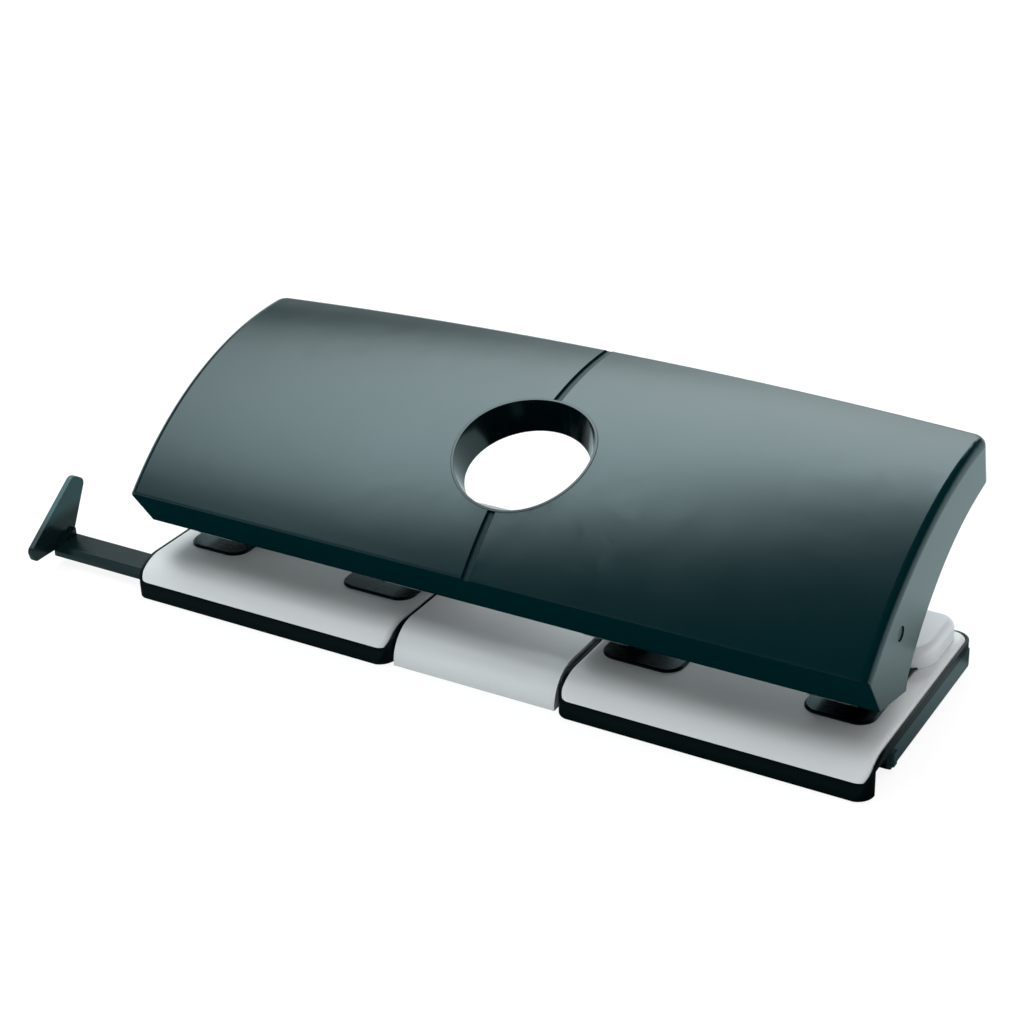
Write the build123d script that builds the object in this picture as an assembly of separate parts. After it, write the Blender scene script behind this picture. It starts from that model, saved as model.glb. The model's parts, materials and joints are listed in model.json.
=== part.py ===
"""Desk punch for four holes: a wide lever over two paper tables, with a pull-out edge guide.

Frame: X along the row of holes, Y from the paper side (minus) to the back (plus), Z up.
The origin is on the desk, in the middle of the base's footprint. All sizes are in millimetres.
"""
from build123d import *
from math import atan2, cos, degrees, hypot, pi, radians, sin, sqrt
import os

# ---------------------------------------------------------------- driving dimensions
# Holes and their punches
HOLE_PITCH = 80.0            # from hole to hole
HOLE_MARGIN = 12.0           # from the sheet's edge to the holes
PIN_D = 5.5                  # hole diameter in the sheet
PIN_Y = 1.0                  # row of holes
PIN_STROKE = 6.6
PIN_HEAD_D = 8.4
PIN_HEAD_H = 1.8
PIN_HEAD_Z = 40.0            # top of the head with the lever up
PIN_ENTRY = 0.1              # the tip waits this far inside its bush
TIP_HOLLOW_R = 6.0           # radius of the hollow ground across the tip
DIE_FIT = 0.05
BUSH_FIT = 0.05

# Base
BASE_END = 22.0              # from the outer holes to the base's ends
BASE_FRONT = -44.1
BASE_BACK = 48.5
BASE_BOTTOM = 0.6
TABLE_Z = 13.4
TABLE_T = 1.8
ROLL_R = 15.1                # rounded front of the paper tables
ROLL_Y = -30.0               # where that rounding meets the flat
WING_INNER = 32.4            # the wings start here, on both sides of the middle
WING_CORNER = 6.0
RIM_W = 1.1                  # black edge round each table
RIM_STEP = 1.0               # the edge lies this far below the table
FRONT_SKIRT_Z = 6.5          # lower edge of the table at the front
SIDE_SKIRT_Z = 10.4          # lower edge of the table elsewhere
SKIRT_BACK = -37.0           # the deep front skirt ends here
TABLE_EDGE_R = 2.0
BAND_Z = 9.4                 # underside of the black edge over the drawer
FLOOR_T = 1.2
SEAT_FIT = 0.05              # between pieces that are fixed to each other

# Middle piece between the wings
RAMP_HALF = 31.4
RAMP_FRONT = -40.9
RAMP_R = 12.5
RAMP_FOOT_Z = 0.2
RAMP_T = 2.0
CORE_WALL = 3.0
WEB_T = 0.8                  # thin webs under the ramp's sides join the wings to the middle
WEB_W = 12.0
WEB_Y = (-21.6, 21.6)
WEB_GRIP = 1.5               # length of a web inside the middle's wall
CENTRE_BOSS_R = 10.0

# Chip drawers
BAY_INNER = 34.6
BAY_FRONT = -22.8
BAY_BACK = 44.0
BAY_TOP = 9.0
DRAWER_GAP = 0.3
DRAWER_LIFT = 0.1
DRAWER_T = 1.3
PANEL_RECESS = 2.0           # the base's side is cut back this far behind the drawer's end
PANEL_T = 1.4
PANEL_FRONT = -24.6
PANEL_BACK = 46.0
PANEL_BOTTOM = 1.5
PANEL_CORNER_R = 1.0
PANEL_BEVEL = 0.3
PULL_W = 3.2
PULL_H = 4.8
PULL_LIFT = 1.6              # above the panel's lower edge
PULL_DEPTH = 1.1

# Edge guide
RAIL_Y = -31.5
RAIL_W = 12.2
RAIL_T = 3.8
RAIL_BOTTOM = 3.4
RAIL_LENGTH = 108.0
RAIL_STOP_X = -185.0         # the sheet's edge rests here: half a 210 mm sheet beyond X = -80
RAIL_FIT = 0.3
RAIL_BEVEL = 1.8
FIN_T = 2.6
FIN_CORNERS = ((-48.2, 5.6), (-27.2, 5.6), (-16.6, 26.3), (-22.2, 30.2), (-49.4, 10.4))
FIN_CORNER_R = (2.0, 0.8, 2.6, 3.0, 2.4)
FIN_EDGE_R = 0.9
GUSSET_IN = 1.0
GUSSET_H = 3.2
GUSSET_T = 1.6
KEEPER_W = 8.0
KEEPER_T = 1.2
KEEPER_END = 16.0            # from the base's end to the outer cross bar
KEEPER_PITCH = 40.0
MOUTH_L = 5.0                # the channel is taller and wider over its last stretch

# Steel plate with the dies
DIE_T = 1.0
DIE_INNER = 30.4
DIE_OUTER = 133.5
DIE_FRONT = -9.0
DIE_BACK = 38.0
TONGUE_FRONT = -22.5
TONGUE_INNER = (37.5, 66.5)  # X span of the tongue beside the middle
TONGUE_OUTER = (109.5, 133.5)
TONGUE_CORNER = 6.0
TONGUE_BEVEL = 0.6
CHIP_HOLE_R = 4.2
CHIP_HOLE_STEP = 0.3         # wider in the moulding below the table

# Punch frames
THROAT = 4.5                 # free height for the sheets
CHEEK_T = 1.8
CHEEK_IN = 6.6               # from the pin to a cheek's inner face
JAW_T = 2.0
JAW_FRONT = -22.8
JAW_BACK = 11.0
NECK_SETBACK = 1.5           # the neck stands behind the sheet's stop
NECK_BACK = 29.0
NECK_TOP = 22.0
CHEEK_TOP = 32.5
EAR_R = 5.5
FOOT_T = 1.8
FOOT_END_H = 2.8

# Guide bushes, springs and their caps
BUSH_R = 4.0
BUSH_FLANGE_R = 6.0
BUSH_FLANGE_T = 0.8
BUSH_TOP = 27.0
CAP_R = 6.0
CAP_T = 1.2
SPRING_R = 5.0               # middle of the wire
SPRING_WIRE = 1.0
SPRING_TURNS = 6.5
SPRING_GAP = 0.15            # above the seat and below the cap

# Rear housing, whose front is the sheet's stop
HOUSING_END = 8.8            # beyond the outer frames
HOUSING_BACK = 45.4
HOUSING_TOP = 20.6
HOUSING_T = 1.8
HOUSING_FRONT_R = 13.0
HOUSING_BACK_R = 6.0
HOUSING_TOP_R = 3.0
HOUSING_SLOT_GAP = 0.5

# Lever
PIVOT_Y = -17.3
PIVOT_Z = 46.5
AXLE_R = 2.5
AXLE_RECESS = 0.4
AXLE_FIT = 0.06
CLIP_T = 0.8
CLIP_R = 4.6
CLIP_MOUTH = 100.0           # degrees
LEVER_END = 20.0             # from the outer holes to the lever's ends
LEVER_T = 2.5
CROWN_R = 130.7              # curve of the lever's top, seen from the side
CROWN_TOP_Y = 51.6           # where that curve is level at the lever's ends
CROWN_TILT = 1.3             # degrees, in the middle, about the lever's front edge
BACK_BOW = 4.5               # the middle of the back edge lies this far behind its ends
LEVER_FRONT = (-42.7, 42.5)
CHIN = (-32.1, 26.8)
TOE = (-9.8, 22.0)
HEEL = (-8.7, 27.0)
FLANGE_MID = (13.2, 49.6)
FLANGE_END = (46.0, 64.0)
LIP_BOTTOM = (59.0, 66.6)
LIP_TOP_Y = 54.9
BACK_CORNER_R = 5.0
CROWN_EDGE_R = 3.0
CROWN_RUN_ON = 6.0           # the crown's surface is made this far past the lever's outline
CHIN_EDGE_R = 0.8
GROOVE_W = 2.8
GROOVE_DEPTH = 0.9
RIB_X = 80.0
RIB_T = 2.4
RIB_GAP = 0.5
BOSS_R = 5.0
BOSS_T = 3.0

# Eye in the lever
EYE_Y = -3.5
EYE_TILT = 17.6              # degrees, towards the paper side
EYE_TOP_R = 24.4
EYE_BOTTOM_R = 21.6
EYE_DEPTH = 9.9
EYE_WALL = 0.9
EYE_PROUD = 0.1

# Steel bars that press the pins
BAR_INNER = 34.0
BAR_OUTER = 132.0
BAR_NOSE_R = 3.0
BAR_GAP = 0.3                # above the pins' heads
BAR_TOP_W = 14.0
BAR_TOP_T = 2.0
BAR_TOP_Z = 52.0
BAR_POST_R = 4.2
BAR_POSTS = (60.0, 98.0)     # X of the lever's posts

# Screws and feet
SCREW_R = 1.5
SCREW_HEAD_R = 2.7
SCREW_HEAD_T = 1.4
SCREW_SLOT = 0.7
FRAME_SCREW_Y = 34.0
FRAME_SCREW_DX = 2.9          # to each side of the pin
SCREW_BITE = 6.0
FOOT_R = 6.5
FOOT_PAD_T = 1.1
FOOT_END = 22.0              # from the base's ends to the outer feet
FOOT_INNER = 16.0            # from the wings' inner sides to the inner feet
FOOT_Y = (-13.0, 31.0)

# ---------------------------------------------------------------- derived places
pin_r = PIN_D / 2
pins_x = [HOLE_PITCH * (i - 1.5) for i in range(4)]
stop_y = PIN_Y + HOLE_MARGIN
base_half = pins_x[-1] + BASE_END
lever_half = pins_x[-1] + LEVER_END
panel_x = base_half - PANEL_RECESS
die_top = TABLE_Z + DIE_T
jaw_z = die_top + THROAT
tip_z = jaw_z + PIN_ENTRY
cap_z = PIN_HEAD_Z - PIN_HEAD_H - CAP_T
seat_z = jaw_z + JAW_T + BUSH_FLANGE_T
cheek_out = CHEEK_IN + CHEEK_T
housing_half = pins_x[-1] + cheek_out + HOUSING_END + HOUSING_SLOT_GAP
neck_front = stop_y + NECK_SETBACK
bar_nose_z = PIN_HEAD_Z + BAR_GAP + BAR_NOSE_R
crown_z0 = LEVER_FRONT[1] - sqrt(CROWN_R**2 - (CROWN_TOP_Y - LEVER_FRONT[0]) ** 2)
floor_z = BASE_BOTTOM + FLOOR_T
sides = {"left": -1, "right": 1}


def bulge(x):
    """Share of the lever's swelling at x: all of it in the middle, nothing at the ends."""
    return 1 - (x / lever_half) ** 2


def crown_centre(x):
    """Centre, in (y, z), of the curve of the lever's top where it is cut at x."""
    tilt = radians(CROWN_TILT) * bulge(x)
    dy, dz = CROWN_TOP_Y - LEVER_FRONT[0], crown_z0 - LEVER_FRONT[1]
    return (LEVER_FRONT[0] + dy * cos(tilt) - dz * sin(tilt),
            LEVER_FRONT[1] + dy * sin(tilt) + dz * cos(tilt))


def crown_z(x, y, drop=0.0):
    """Height of the lever's top at (x, y), or of the surface that lies drop below it."""
    centre = crown_centre(x)
    return centre[1] + sqrt((CROWN_R - drop) ** 2 - (y - centre[0]) ** 2)


# ---------------------------------------------------------------- helpers
def block(x, y, z):
    """A box from three (low, high) spans, given in either order."""
    low = [min(span) for span in (x, y, z)]
    size = [abs(span[1] - span[0]) for span in (x, y, z)]
    return Pos(*low) * Box(*size, align=(Align.MIN,) * 3)


def along_x(edges, x0, x1):
    """A closed outline in (y, z), extruded from x0 to x1."""
    face = make_face(edges)
    return extrude(Plane.YZ.offset(min(x0, x1)) * face, amount=abs(x1 - x0))


def polygon_x(points, x0, x1):
    return along_x(Polyline(*points, close=True).edges(), x0, x1)


def rod_x(r, y, z, x0, x1):
    return Pos((x0 + x1) / 2, y, z) * Rot(0, 90, 0) * Cylinder(r, abs(x1 - x0))


def rod_z(r, x, y, z0, z1):
    return Pos(x, y, (z0 + z1) / 2) * Cylinder(r, z1 - z0)


def mirrored(side, span):
    """An X span on the chosen side of the middle plane."""
    return (side * span[0], side * span[1])


def screw(x, y, head_z, length, up=1):
    """A pan-head screw standing on head_z, with its shank on the other side of it."""
    head = rod_z(SCREW_HEAD_R, 0, 0, 0, SCREW_HEAD_T)
    head = chamfer(head.edges().group_by(Axis.Z)[-1], SCREW_HEAD_T / 3)
    shank = rod_z(SCREW_R, 0, 0, -length, 0)
    slot = block((-SCREW_HEAD_R, SCREW_HEAD_R), (-SCREW_SLOT / 2, SCREW_SLOT / 2),
                 (SCREW_HEAD_T / 2, 2 * SCREW_HEAD_T))
    body = head + shank - slot
    turn = Rot(0, 0, 0) if up > 0 else Rot(180, 0, 0)
    return Pos(x, y, head_z) * turn * body


# ---------------------------------------------------------------- base
def wing_block(side, inset, drop, bottom):
    """The wing's outer form, shrunk by inset in plan and by drop from above."""
    front, back = BASE_FRONT + inset, BASE_BACK - inset
    radius = ROLL_R - drop
    centre_z = TABLE_Z - ROLL_R
    top = TABLE_Z - drop
    toe_y = ROLL_Y - sqrt(radius**2 - (bottom - centre_z) ** 2)
    mid = 0.5 * (pi / 2 + atan2(bottom - centre_z, toe_y - ROLL_Y))
    outline = [
        ThreePointArc((toe_y, bottom), (ROLL_Y + radius * cos(mid), centre_z + radius * sin(mid)),
                      (ROLL_Y, top)),
        Line((ROLL_Y, top), (BASE_BACK + 1, top)),
        Line((BASE_BACK + 1, top), (BASE_BACK + 1, bottom)),
        Line((BASE_BACK + 1, bottom), (toe_y, bottom)),
    ]
    form = along_x(outline, *mirrored(side, (WING_INNER - 1, base_half + 1)))
    x0, x1 = mirrored(side, (WING_INNER + inset, base_half - inset))
    plan = RectangleRounded(abs(x1 - x0), back - front, WING_CORNER - inset)
    plan = Pos((x0 + x1) / 2, (front + back) / 2) * plan
    return form & extrude(Plane.XY.offset(bottom - 1) * plan, amount=TABLE_Z + 2)


def table_envelope(side, grow, drop):
    """The space that a table fills, down to its skirt."""
    form = wing_block(side, RIM_W - grow, drop, FRONT_SKIRT_Z - grow)
    below = block(mirrored(side, (0, base_half)), (SKIRT_BACK + grow, BASE_BACK),
                  (0, SIDE_SKIRT_Z - grow))
    return form - below


def table(side):
    """Light paper table of one wing: a thin shell with a rounded front edge."""
    form = wing_block(side, RIM_W, 0, FRONT_SKIRT_Z)
    upper = [e for e in form.edges() if e.center().Z > FRONT_SKIRT_Z]
    upright = form.edges().filter_by(Axis.Z)
    seam = [e for e in form.edges().filter_by(Axis.X) if abs(e.center().Y - ROLL_Y) < SEAT_FIT]
    form = fillet([e for e in upper if e not in upright and e not in seam], TABLE_EDGE_R)
    form -= block(mirrored(side, (0, base_half)), (SKIRT_BACK, BASE_BACK), (0, SIDE_SKIRT_Z))
    form -= wing_block(side, RIM_W + TABLE_T, TABLE_T, 0)
    for x in pins_x:
        form -= rod_z(CHIP_HOLE_R, x, PIN_Y, 0, 2 * TABLE_Z)
        for dx in (-FRAME_SCREW_DX, FRAME_SCREW_DX):
            form -= rod_z(SCREW_R + SEAT_FIT, x + dx, FRAME_SCREW_Y, 0, 2 * TABLE_Z)
    return form


def ramp_outline(inset, foot):
    """Side outline of the middle piece: a rounded nose that comes down to the desk."""
    radius = RAMP_R - inset
    front = RAMP_FRONT + inset
    top = TABLE_Z - inset
    centre = (RAMP_FRONT + RAMP_R, TABLE_Z - RAMP_R)
    mid = (centre[0] - radius * cos(pi / 4), centre[1] + radius * sin(pi / 4))
    back = BASE_BACK - inset
    return [
        Line((front, foot), (front, centre[1])),
        ThreePointArc((front, centre[1]), mid, (centre[0], top)),
        Line((centre[0], top), (back, top)),
        Line((back, top), (back, foot)),
        Line((back, foot), (front, foot)),
    ]


def centre_ramp():
    form = along_x(ramp_outline(0, RAMP_FOOT_Z), -RAMP_HALF, RAMP_HALF)
    inner = ramp_outline(RAMP_T, -TABLE_Z)
    form -= along_x(inner, -RAMP_HALF + RAMP_T, RAMP_HALF - RAMP_T)
    over_webs = block((-RAMP_HALF, RAMP_HALF), (RAMP_FRONT + RAMP_R, BASE_BACK),
                      (0, BASE_BOTTOM + WEB_T + SEAT_FIT))
    return form - over_webs


def base_core():
    """Middle of the base, under the ramp, with a hollow underside and a boss for its foot."""
    clear = RAMP_T + SEAT_FIT
    nose = along_x(ramp_outline(clear, BASE_BOTTOM), -RAMP_HALF + clear, RAMP_HALF - clear)
    hollow_top = TABLE_Z - clear - CORE_WALL
    half = RAMP_HALF - clear - CORE_WALL
    hollow = block((-half, half), (RAMP_FRONT + RAMP_R, BASE_BACK - clear - CORE_WALL),
                   (0, hollow_top))
    hollow -= rod_z(CENTRE_BOSS_R, 0, 0, 0, hollow_top)
    hollow -= block((-CORE_WALL / 2, CORE_WALL / 2), (BASE_FRONT, BASE_BACK), (0, hollow_top))
    return nose - hollow


def base_frame():
    """Black moulding: both wings with their edges, bays and channels, joined in the middle."""
    body = base_core()
    for side in (-1, 1):
        wing = wing_block(side, 0, RIM_STEP, BASE_BOTTOM)
        wing -= table_envelope(side, SEAT_FIT, 0)
        wing += wing_block(side, RIM_W + TABLE_T + SEAT_FIT, TABLE_T + SEAT_FIT, BASE_BOTTOM)
        wing -= block(mirrored(side, (BAY_INNER, base_half + 1)), (BAY_FRONT, BAY_BACK),
                      (floor_z, BAY_TOP))
        wing -= block(mirrored(side, (panel_x, base_half + 1)),
                      (PANEL_FRONT - DRAWER_GAP, BASE_BACK - TABLE_T + DRAWER_GAP), (0, BAND_Z))
        wing -= block(mirrored(side, (WING_INNER + 2 * RIM_W, base_half + 1)),
                      (RAIL_Y - RAIL_W / 2 - RAIL_FIT, RAIL_Y + RAIL_W / 2 + RAIL_FIT),
                      (0, RAIL_BOTTOM + RAIL_T + RAIL_FIT))
        wing -= block(mirrored(side, (base_half - MOUTH_L, base_half + 1)),
                      (RAIL_Y - RAIL_W / 2 - RAIL_FIT, BAY_FRONT), (0, BAND_Z))
        for x in keeper_places(side):
            wing += block((x - KEEPER_W / 2, x + KEEPER_W / 2),
                          (RAIL_Y - RAIL_W / 2 - 1, RAIL_Y + RAIL_W / 2 + 1),
                          (RAIL_BOTTOM - RAIL_FIT - KEEPER_T, RAIL_BOTTOM - RAIL_FIT))
        body += wing
        for y in WEB_Y:
            body += block(mirrored(side, (RAMP_HALF - RAMP_T - WEB_GRIP, WING_INNER + RIM_W)),
                          (y - WEB_W / 2, y + WEB_W / 2),
                          (BASE_BOTTOM, BASE_BOTTOM + WEB_T))
    for x in pins_x:
        body -= rod_z(CHIP_HOLE_R + CHIP_HOLE_STEP, x, PIN_Y, BAY_TOP - 1, TABLE_Z)
        for dx in (-FRAME_SCREW_DX, FRAME_SCREW_DX):
            body -= rod_z(SCREW_R, x + dx, FRAME_SCREW_Y, BAY_TOP - 1, TABLE_Z)
    for x, y in feet_places():
        body -= rod_z(FOOT_R + SEAT_FIT, x, y, 0, FOOT_PAD_T)
    return body


def keeper_places(side):
    """X of the cross bars that carry the edge guide in its channel."""
    outer = base_half - KEEPER_END
    return [side * x for x in (outer, outer - KEEPER_PITCH)]


def feet_places():
    rows = (base_half - FOOT_END, WING_INNER + FOOT_INNER)
    return [(side * x, y) for side in (-1, 1) for x in rows for y in FOOT_Y] + [(0.0, 0.0)]


def rubber_feet():
    return [rod_z(FOOT_R, x, y, 0, FOOT_PAD_T) for x, y in feet_places()]


# ---------------------------------------------------------------- drawers and edge guide
def chip_drawer(side):
    """Open tray under the dies, closed at the base's side by its end panel."""
    x0, x1 = BAY_INNER + DRAWER_GAP, panel_x + DRAWER_GAP
    y0, y1 = BAY_FRONT + DRAWER_GAP, BAY_BACK - DRAWER_GAP
    z0, z1 = floor_z + DRAWER_LIFT, BAY_TOP - DRAWER_GAP
    tray = block(mirrored(side, (x0, x1)), (y0, y1), (z0, z1))
    tray -= block(mirrored(side, (x0 + DRAWER_T, x1)), (y0 + DRAWER_T, y1 - DRAWER_T),
                  (z0 + DRAWER_T, TABLE_Z))
    panel = block(mirrored(side, (x1, x1 + PANEL_T)), (PANEL_FRONT, PANEL_BACK),
                  (PANEL_BOTTOM, BAND_Z - DRAWER_GAP))
    panel = fillet(panel.edges().filter_by(Axis.X), PANEL_CORNER_R)
    outer = panel.faces().sort_by(Axis.X)[-1 if side > 0 else 0]
    panel = chamfer(outer.edges(), PANEL_BEVEL)
    pull = block(mirrored(side, (x1, x1 + PANEL_T + PULL_DEPTH)),
                 (PANEL_FRONT, PANEL_FRONT + PULL_W),
                 (PANEL_BOTTOM + PULL_LIFT, PANEL_BOTTOM + PULL_LIFT + PULL_H))
    pull = fillet(pull.edges().filter_by(Axis.Z), PULL_DEPTH / 2)
    return tray + panel + pull


def guide_rail():
    """Edge guide for the sheets: a flat bar with a sail-shaped stop on its outer end."""
    x0, x1 = RAIL_STOP_X, RAIL_STOP_X + RAIL_LENGTH
    y0, y1 = RAIL_Y - RAIL_W / 2, RAIL_Y + RAIL_W / 2
    top = RAIL_BOTTOM + RAIL_T
    section = [(y0, RAIL_BOTTOM), (y1, RAIL_BOTTOM), (y1, top), (y0 + RAIL_BEVEL, top),
               (y0, top - RAIL_BEVEL)]
    bar = polygon_x(section, x0, x1)
    sail = make_face(Polyline(*FIN_CORNERS, close=True).edges())
    for corner, radius in zip(FIN_CORNERS, FIN_CORNER_R):
        sail = fillet(sail.vertices().sort_by_distance((*corner, 0))[0], radius)
    fin = extrude(Plane.YZ.offset(x0 - FIN_T) * sail, amount=FIN_T)
    fin = fillet(fin.faces().sort_by(Axis.X)[0].edges(), FIN_EDGE_R)
    gusset = polygon_x([(y0 + GUSSET_IN, top), (y1 - GUSSET_IN, top), (y1 - GUSSET_IN, top + GUSSET_H)],
                       x0, x0 + GUSSET_T)
    return bar + fin + gusset


# ---------------------------------------------------------------- dies, frames and punches
def die_plate(side):
    """Steel strip on the table with two dies and two tongues that lead the sheets in."""
    plate = block(mirrored(side, (DIE_INNER, DIE_OUTER)), (DIE_FRONT, DIE_BACK), (TABLE_Z, die_top))
    for span in (TONGUE_INNER, TONGUE_OUTER):
        x0, x1 = mirrored(side, span)
        tongue = block((x0, x1), (TONGUE_FRONT, DIE_FRONT + 1), (TABLE_Z, die_top))
        corners = tongue.edges().filter_by(Axis.Z).group_by(Axis.Y)[0]
        tongue = fillet(corners, TONGUE_CORNER)
        lead = [e for e in tongue.faces().sort_by(Axis.Z)[-1].edges()
                if e.center().Y < DIE_FRONT]
        plate += chamfer(lead, TONGUE_BEVEL)
    for x in pins_x:
        plate -= rod_z(pin_r + DIE_FIT, x, PIN_Y, 0, 2 * TABLE_Z)
        for dx in (-FRAME_SCREW_DX, FRAME_SCREW_DX):
            plate -= rod_z(SCREW_R + SEAT_FIT, x + dx, FRAME_SCREW_Y, 0, 2 * TABLE_Z)
    return plate


def cheek_outline():
    """Side outline of a punch frame: foot, neck, jaw over the sheets, and ear for the axle."""
    foot_top = die_top + FOOT_END_H
    return [
        Line((neck_front, die_top), (DIE_BACK, die_top)),
        Line((DIE_BACK, die_top), (DIE_BACK, foot_top)),
        Line((DIE_BACK, foot_top), (NECK_BACK, foot_top)),
        Line((NECK_BACK, foot_top), (NECK_BACK, NECK_TOP)),
        Line((NECK_BACK, NECK_TOP), (JAW_BACK, CHEEK_TOP)),
        Line((JAW_BACK, CHEEK_TOP), (PIVOT_Y + EAR_R + 2, CHEEK_TOP)),
        Line((PIVOT_Y + EAR_R + 2, CHEEK_TOP), (PIVOT_Y + EAR_R, PIVOT_Z)),
        ThreePointArc((PIVOT_Y + EAR_R, PIVOT_Z), (PIVOT_Y, PIVOT_Z + EAR_R),
                      (PIVOT_Y - EAR_R, PIVOT_Z)),
        Line((PIVOT_Y - EAR_R, PIVOT_Z), (JAW_FRONT, jaw_z + 2 * JAW_T)),
        Line((JAW_FRONT, jaw_z + 2 * JAW_T), (JAW_FRONT + 2, jaw_z)),
        Line((JAW_FRONT + 2, jaw_z), (neck_front, jaw_z)),
        Line((neck_front, jaw_z), (neck_front, die_top)),
    ]


def punch_frame(x):
    """Pressed-steel bracket: two cheeks joined by a foot, a jaw and a back web."""
    body = along_x(cheek_outline(), x - cheek_out, x - CHEEK_IN)
    body += along_x(cheek_outline(), x + CHEEK_IN, x + cheek_out)
    inner = (x - CHEEK_IN, x + CHEEK_IN)
    body += block(inner, (JAW_FRONT + 2, neck_front + JAW_T), (jaw_z, jaw_z + JAW_T))
    body += block(inner, (neck_front, DIE_BACK), (die_top, die_top + FOOT_T))
    body += block(inner, (neck_front, neck_front + JAW_T), (die_top, jaw_z))
    body -= rod_z(BUSH_R + SEAT_FIT, x, PIN_Y, jaw_z - 1, jaw_z + JAW_T + 1)
    body -= rod_x(AXLE_R + SEAT_FIT, PIVOT_Y, PIVOT_Z, x - 2 * cheek_out, x + 2 * cheek_out)
    for dx in (-FRAME_SCREW_DX, FRAME_SCREW_DX):
        body -= rod_z(SCREW_R + SEAT_FIT, x + dx, FRAME_SCREW_Y, die_top - 1, die_top + 2 * FOOT_T)
    return body


def guide_bush(x):
    """Flanged bush in the jaw that guides the pin; its flange is the spring's seat."""
    body = rod_z(BUSH_R, x, PIN_Y, jaw_z, BUSH_TOP)
    body += rod_z(BUSH_FLANGE_R, x, PIN_Y, jaw_z + JAW_T, seat_z)
    return body - rod_z(pin_r + BUSH_FIT, x, PIN_Y, 0, 2 * BUSH_TOP)


def punch_pin(x):
    """Hollow-ground steel pin with a flat head."""
    body = rod_z(pin_r, x, PIN_Y, tip_z, PIN_HEAD_Z - PIN_HEAD_H)
    hollow_z = tip_z - sqrt(TIP_HOLLOW_R**2 - pin_r**2)
    body -= Pos(x, PIN_Y, hollow_z) * Rot(90, 0, 0) * Cylinder(TIP_HOLLOW_R, 2 * PIN_D)
    head = rod_z(PIN_HEAD_D / 2, x, PIN_Y, PIN_HEAD_Z - PIN_HEAD_H, PIN_HEAD_Z)
    head = chamfer(head.edges().group_by(Axis.Z)[-1], PIN_HEAD_H / 4)
    return body + head


def spring_cap(x):
    """Washer under the pin's head that the spring pushes up."""
    ring = rod_z(CAP_R, x, PIN_Y, cap_z, cap_z + CAP_T)
    return ring - rod_z(pin_r + SEAT_FIT, x, PIN_Y, 0, 2 * PIN_HEAD_Z)


def helix_route(low, high, radius, turns):
    """Points and unit tangents of a helix about Z, one for each quarter turn."""
    rise = (high - low) / (2 * pi * turns)
    steps = int(round(4 * turns))
    route = []
    for i in range(steps + 1):
        a = i * pi / 2
        point = Vector(radius * cos(a), radius * sin(a), low + rise * a)
        route.append((point, Vector(-radius * sin(a), radius * cos(a), rise).normalized()))
    return route


def biarc(start, start_dir, end, end_dir):
    """Two tangent arcs that join two points with given directions."""
    chord = end - start
    both = start_dir + end_dir
    spread = 2 * (1 - start_dir.dot(end_dir))
    reach = (-chord.dot(both) + sqrt(chord.dot(both) ** 2 + spread * chord.dot(chord))) / spread
    joint = (start + end + (start_dir - end_dir) * reach) * 0.5
    joint_dir = (end - end_dir * reach) - (start + start_dir * reach)
    return [TangentArc(start, joint, tangent=start_dir),
            TangentArc(joint, end, tangent=joint_dir.normalized())]


def return_spring(x):
    """Compression spring round the bush, one unbroken wire with straight ends."""
    low = seat_z + SPRING_GAP + SPRING_WIRE / 2
    high = cap_z - SPRING_GAP - SPRING_WIRE / 2
    route = helix_route(low, high, SPRING_R, SPRING_TURNS)
    first, first_dir = route[0]
    last, last_dir = route[-1]
    level = Vector(0, 1, 0)
    edges = [Line(first - level * SPRING_WIRE, first)]
    for (p, t), (q, u) in zip(route, route[1:]):
        edges += biarc(p, t, q, u)
    out = Vector(last_dir.X, last_dir.Y, 0).normalized()
    edges.append(Line(last, last + out * SPRING_WIRE))
    path = Wire([e.edge() if hasattr(e, "edge") else e for e in edges])
    section = Plane(path @ 0, z_dir=path % 0) * Circle(SPRING_WIRE / 2)
    return Pos(x, PIN_Y, 0) * sweep(section, path=path)


def spring_gap():
    """Least gap between turns of the spring at rest, measured on points of its wire."""
    low = seat_z + SPRING_GAP + SPRING_WIRE / 2
    high = cap_z - SPRING_GAP - SPRING_WIRE / 2
    count = 40
    total = int(SPRING_TURNS * count)
    points = []
    for i in range(total + 1):
        a = 2 * pi * i / count
        points.append((SPRING_R * cos(a), SPRING_R * sin(a), low + (high - low) * i / total))
    least = min(hypot(hypot(p[0] - q[0], p[1] - q[1]), p[2] - q[2])
                for i, p in enumerate(points) for q in points[i + count // 2:])
    return least - SPRING_WIRE


# ---------------------------------------------------------------- axle, housing, screws
def pivot_axle():
    half = lever_half - AXLE_RECESS
    axle = rod_x(AXLE_R, PIVOT_Y, PIVOT_Z, -half, half)
    return chamfer(axle.edges().filter_by(GeomType.CIRCLE), 0.4)


def axle_clips():
    """Snap rings outside the outer frames."""
    clips = []
    for side in (-1, 1):
        x = side * (pins_x[-1] + cheek_out + 2 * AXLE_FIT)
        ring = rod_x(CLIP_R, PIVOT_Y, PIVOT_Z, x, x + side * CLIP_T)
        ring -= rod_x(AXLE_R + SEAT_FIT, PIVOT_Y, PIVOT_Z, x - side, x + side * 2 * CLIP_T)
        reach = 2 * CLIP_R
        half = radians(CLIP_MOUTH / 2)
        mouth = polygon_x([(PIVOT_Y, PIVOT_Z),
                           (PIVOT_Y + reach * cos(half), PIVOT_Z - reach * sin(half)),
                           (PIVOT_Y + reach * cos(half), PIVOT_Z + reach * sin(half))],
                          x - side, x + side * 2 * CLIP_T)
        clips.append(ring - mouth)
    return clips


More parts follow.
